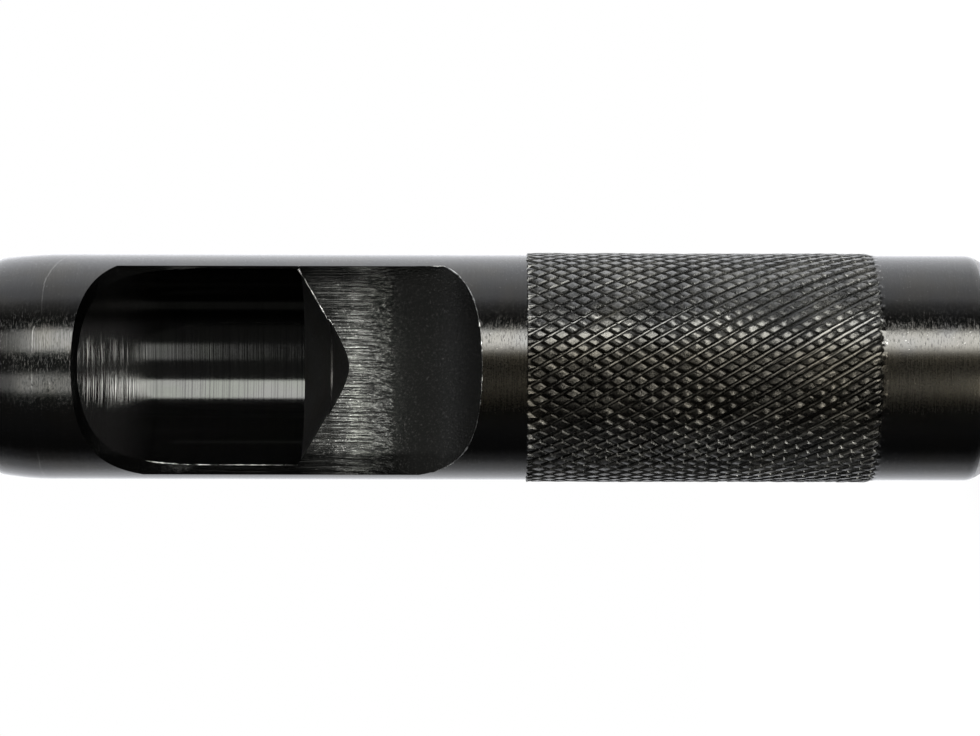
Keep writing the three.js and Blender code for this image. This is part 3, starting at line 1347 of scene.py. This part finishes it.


# The grip and the neck are painted darker and browner, as painted shade, along a band across X
# from about -5 to 1 mm, and there the neck's turned skin is also duller and calmer. Both patches
# are told by their place across the tool, so they show on its far side too. The milled ramp has
# painted shade towards the window's side walls and above the drill's cone, and the bore has
# painted shade on its upper side.
GRIP_PAINTED_SHADE = Patch(
    ((Axis.ACROSS, 0.8, 6.0, 1.0, 0.0), (Axis.ACROSS, -8.0, -4.6, 0.4, 1.0)),
    tint=(0.33, 0.31, 0.275, 1),
)
# Painted shade on the neck, where its relief is also calmer and its roughness higher
NECK_PAINTED_SHADE = Patch(
    ((Axis.ACROSS, 0.8, 2.8, 1.0, 0.0), (Axis.ACROSS, -7.0, -3.5, 0.0, 1.0),
     (Axis.ALONG, 56.0, 59.0, 1.0, 0.0)),
    tint=(0.355, 0.325, 0.265, 1), relief_kept=0.22, roughness_added=0.15,
)
# Painted shade on the milled ramp, near the side walls and above the drill's cone
RAMP_PAINTED_SHADE = (
    Patch(((Axis.ACROSS, 1.0, 6.5, 0.0, 0.5), (Axis.ALONG, 61.0, 64.0, 0.35, 1.0))),
    Patch(((Axis.ACROSS, -8.7, -9.5, 0.0, 0.76), (Axis.ALONG, 61.0, 64.0, 0.35, 1.0))),
    Patch(((Axis.ALONG, 71.0, 74.0, 0.0, 0.75),)),
)
# Painted shade on the bore's upper side
BORE_PAINTED_SHADE = Patch(((Axis.ACROSS, 3.8, 5.8, 0.0, 0.85),))

# One finish for each skin, in the same order
FINISHES = (
    SteelFinish("turned_black", has_taper=True, mark_depth=0.046, hair_depth=0.038, grain=4.6,
                grain_depth=0.020, patches=(NECK_PAINTED_SHADE,)),
    # The grip's colour is raised, as painted light on its +X side, where its painted shade fades
    # out
    SteelFinish("knurled_black", colour=(0.110, 0.110, 0.106, 1), tint=(0.166, 0.163, 0.150, 1),
                roughness=0.29, marks=(1.5, 1.5, 1.5), hair_depth=0.03, grain=4.5,
                grain_depth=0.10, smooth_grooves=True, wear=0.22, patches=(GRIP_PAINTED_SHADE,)),
    SteelFinish("bored_black", colour=(0.045, 0.045, 0.044, 1), tint=(0.043, 0.045, 0.041, 1),
                marks=(0.03, 0.03, 7.0), mark_detail=5.0, mark_depth=0.013, chatter_from=90.0,
                chatter_gain=19.0, mark_edges=(0.36, 0.50), mark_contrast=0.6,
                grain_depth=0.0010, hair_depth=0.0, roughness=0.09, roughness_spread=0.02,
                metallic=0.9, specks=0.95, wear=0.0, patches=(BORE_PAINTED_SHADE,)),
    SteelFinish("milled_black", colour=(0.22, 0.222, 0.21, 1), tint=(0.185, 0.19, 0.172, 1),
                marks=(4.6, 4.6, 0.10), mark_depth=1.1, mark_detail=3.0, mark_edges=(0.44, 0.54),
                marks_between=(63.9, 68.4), mark_contrast=1.0, roughness=0.22, hair_depth=0.02,
                grain_depth=0.03, specks=0.63, speck_strength=0.45, metallic=0.95, wear=0.0,
                patches=RAMP_PAINTED_SHADE),
    SteelFinish("bared_steel", colour=(0.35, 0.35, 0.34, 1), tint=(0.22, 0.21, 0.20, 1),
                roughness=0.36, marks=(0.4, 0.4, 5.0), wear=0.0),
    SteelFinish("burr_steel", colour=(0.75, 0.75, 0.72, 1), tint=(0.06, 0.06, 0.055, 1),
                cloud_scale=1.2, roughness=0.3, marks=(2.0, 2.0, 2.0), wear=0.0),
    SteelFinish("drilled_black", colour=(0.08, 0.08, 0.078, 1), roughness=0.42,
                marks=(2.0, 2.0, 2.0), metallic=0.9, hair_depth=0.0, wear=0.0),
    # The window's side walls are painted nearly black, as painted shade
    SteelFinish("walled_painted_shade", colour=(0.025, 0.025, 0.024, 1), tint=(0.03, 0.03, 0.03, 1),
                marks=(1.6, 1.6, 0.2), mark_depth=0.12, roughness=0.3, hair_depth=0.0, wear=0.0),
)


@dataclass(frozen=True)
class LightPanel:
    """A tall panel of light with soft edges, told in degrees round the tool from the camera."""

    centre: float
    half: float
    soft: float

    def seen(self, wiring: Wiring, turn: Socket) -> Socket:
        """Tells how much of the panel lies in a direction.

        Args:
            wiring: the world's tree.
            turn: angle of the direction round the tool.

        Returns:
            1 on the panel and 0 away from it.
        """
        away = wiring.math("ABSOLUTE", wiring.math("SUBTRACT", turn, self.centre))
        return wiring.between(away, self.half + self.soft / 2, self.half - self.soft / 2)


@dataclass(frozen=True)
class Studio:
    """The pale floor, the light and the camera of the photograph."""

    pixels_for_mm: float = 9.36
    focal_pixels: float = 3200.0
    frame_width: int = 980
    sensor: float = 36.0
    centre_height: float = 53.41
    side_offset: float = -0.085
    roll: float = math.radians(0.12)
    floor_radius: float = 0.45
    bright_panel: LightPanel = LightPanel(26.6, half=10.8, soft=3.0)
    faint_panel: LightPanel = LightPanel(-17.5, half=9.0, soft=6.0)
    slim_panel: LightPanel = LightPanel(-18.7, half=2.5, soft=5.0)
    surround: tuple[Pair, ...] = (
        (-180, 1.20), (-142, 1.10), (-122, 0.62), (-106, 0.14), (-94, 0.03), (-50, 0.06),
        (4, 0.10), (52, 0.07), (64, 0.26), (78, 0.95), (108, 1.60), (126, 1.80), (160, 1.50),
    )

    def camera(self) -> None:
        """Sets the camera up square to the window side, with the tool lying across the frame."""
        data = bpy.data.cameras.new("camera")
        data.sensor_width = self.sensor
        data.lens = self.focal_pixels / self.frame_width * self.sensor
        data.clip_start = 0.01
        data.clip_end = 20
        camera = bpy.data.objects.new("camera", data)
        bpy.context.scene.collection.objects.link(camera)
        right, up, back = Vector((0, 0, -1)), Vector((1, 0, 0)), Vector((0, -1, 0))
        turned = Matrix((right, up, back)).transposed() @ Matrix.Rotation(self.roll, 3, "Z")
        away = self.focal_pixels / self.pixels_for_mm * MM
        spot = Vector((self.side_offset * MM, -away, self.centre_height * MM))
        camera.matrix_world = Matrix.Translation(spot) @ turned.to_4x4()
        bpy.context.scene.camera = camera

    def light(self, wiring: Wiring, turn: Socket, rise: Socket) -> Socket:
        """Works out how bright the studio is in a direction, as the steel sees it.

        Args:
            wiring: the world's tree.
            turn: angle of the direction round the tool, 0 at the camera, in degrees.
            rise: angle of the direction over the level, in degrees.

        Returns:
            The brightness.
        """
        round_place = wiring.math("DIVIDE", wiring.total(turn, 180.0), 360.0)
        stops = [(degrees / 360 + 0.5, level) for degrees, level in self.surround]
        surround = wiring.ramp(round_place, stops)

        # How each panel fades upwards and downwards, with all of them fading far up
        far = wiring.between(rise, 9.0, 22.0, 1.0, 0.25)
        bright_fade = wiring.times(wiring.between(rise, 5.8, 8.0, 1.0, 0.42), far)
        faint_low = wiring.math(
            "MINIMUM", wiring.between(rise, -12.5, -15.5, 0.0, 15.0),
            wiring.between(rise, -24.0, -30.0, 15.0, 0.0),
        )
        faint_high = wiring.times(wiring.between(rise, 4.5, 7.4, 0.0, 3.4), far)
        slim_fade = wiring.between(rise, -2.0, -9.0, 0.0, 0.6)
        light = wiring.total(
            wiring.times(self.bright_panel.seen(wiring, turn), bright_fade, 8.2),
            wiring.times(self.faint_panel.seen(wiring, turn), wiring.total(faint_low, faint_high)),
            wiring.times(self.slim_panel.seen(wiring, turn), slim_fade), surround,
        )
        light = wiring.mixed(wiring.between(rise, 32.0, 46.0), light, 0.15)
        light = wiring.total(light, wiring.between(rise, 76.0, 86.0, 0.0, 0.25))
        return wiring.mixed(wiring.between(rise, -26.0, -50.0), light, 0.3)

    def world(self) -> None:
        """Lights the steel from a surround that is pale behind the tool and dark in front.

        The surround has a tall bright panel at the front right, as the tool stands, and two
        fainter ones beside it. The camera itself sees plain white.
        """
        world = bpy.data.worlds.new("studio")
        bpy.context.scene.world = world
        world.use_nodes = True
        world.cycles.sampling_method = "NONE"
        wiring = Wiring(world.node_tree)
        direction = wiring.add("TexCoord").outputs["Generated"]
        x, y, z = wiring.add("SeparateXYZ", {0: direction}).outputs
        turn = wiring.math("ARCTAN2", x, wiring.times(y, -1.0))
        turn = wiring.times(turn, 180 / math.pi)
        rise = wiring.times(wiring.math("ARCSINE", z), 180 / math.pi)
        light = self.light(wiring, turn, rise)

        # The light is a little warm in front of the tool and a little cold at its sides
        beside = wiring.between(wiring.math("ABSOLUTE", turn), 45.0, 75.0)
        cast = wiring.blend(beside, (1.0, 1.0, 0.98, 1), (0.98, 0.995, 1.04, 1))
        light = wiring.stretched(light, cast)
        rays = wiring.add("LightPath").outputs
        steel = wiring.add("Background", {"Color": light, "Strength": 1.0}).outputs[0]
        plain = wiring.add("Background", {"Color": WHITE, "Strength": 0.5}).outputs[0]
        white = wiring.add("Background", {"Color": WHITE, "Strength": 1.0}).outputs[0]
        mixed = wiring.add("MixShader", {0: rays["Is Glossy Ray"], 1: plain, 2: steel}).outputs[0]
        mixed = wiring.add("MixShader", {0: rays["Is Camera Ray"], 1: mixed, 2: white}).outputs[0]
        wiring.add("OutputWorld", {"Surface": mixed})

    def floor(self) -> None:
        """Lays a round pale floor that the camera sees as white with a soft shadow."""
        bm = bmesh.new()
        bmesh.ops.create_circle(bm, cap_ends=True, radius=self.floor_radius, segments=128)
        floor = bpy.data.objects.new("floor", mesh_of(bm, "floor"))
        bpy.context.scene.collection.objects.link(floor)
        floor.visible_glossy = False
        material = bpy.data.materials.new("pale_floor")
        material.use_nodes = True
        wiring = Wiring(material.node_tree)
        rays = wiring.add("LightPath").outputs
        pale = wiring.add("BsdfDiffuse", {"Color": (0.8, 0.8, 0.8, 1)}).outputs[0]
        glow = wiring.add("Emission", {"Color": WHITE, "Strength": 1.05}).outputs[0]
        seen = wiring.add("MixShader", {0: 0.9, 1: pale, 2: glow}).outputs[0]
        mixed = wiring.add("MixShader", {0: rays["Is Camera Ray"], 1: pale, 2: seen}).outputs[0]
        wiring.add("OutputMaterial", {"Surface": mixed})
        floor.data.materials.append(material)

    def lamps(self) -> None:
        """Hangs one large soft lamp over the tool."""
        data = bpy.data.lights.new("softbox", "AREA")
        data.shape = "DISK"
        data.size = 0.5
        data.energy = 6.0
        lamp = bpy.data.objects.new("softbox", data)
        lamp.visible_camera = False
        lamp.visible_glossy = False
        lamp.matrix_world = Matrix.Translation((0.1, -0.2, 0.8))
        lamp.rotation_euler = (math.radians(-14), math.radians(7), 0)
        bpy.context.scene.collection.objects.link(lamp)

    def build(self) -> None:
        """Sets up everything round the tool."""
        bpy.context.scene.view_settings.view_transform = "Standard"
        self.camera()
        self.world()
        self.floor()
        self.lamps()


def report(piece: bpy.types.Object) -> None:
    """Logs how many triangles and open edges a piece has.

    Args:
        piece: a finished mesh object.
    """
    bm = bmesh.new()
    bm.from_mesh(piece.data)
    triangles = sum(len(face.verts) - 2 for face in bm.faces)
    open_edges = sum(not edge.is_manifold for edge in bm.edges)
    bm.free()
    LOG.info("%s: %d triangles, %d open edges", piece.name, triangles, open_edges)


def main() -> None:
    """Builds the studio and the tool, and reports each piece."""
    logging.basicConfig(level=logging.INFO, format="%(name)s: %(message)s")
    Studio().build()
    for piece in Punch().build():
        report(piece)


if __name__ == "__main__":
    main()
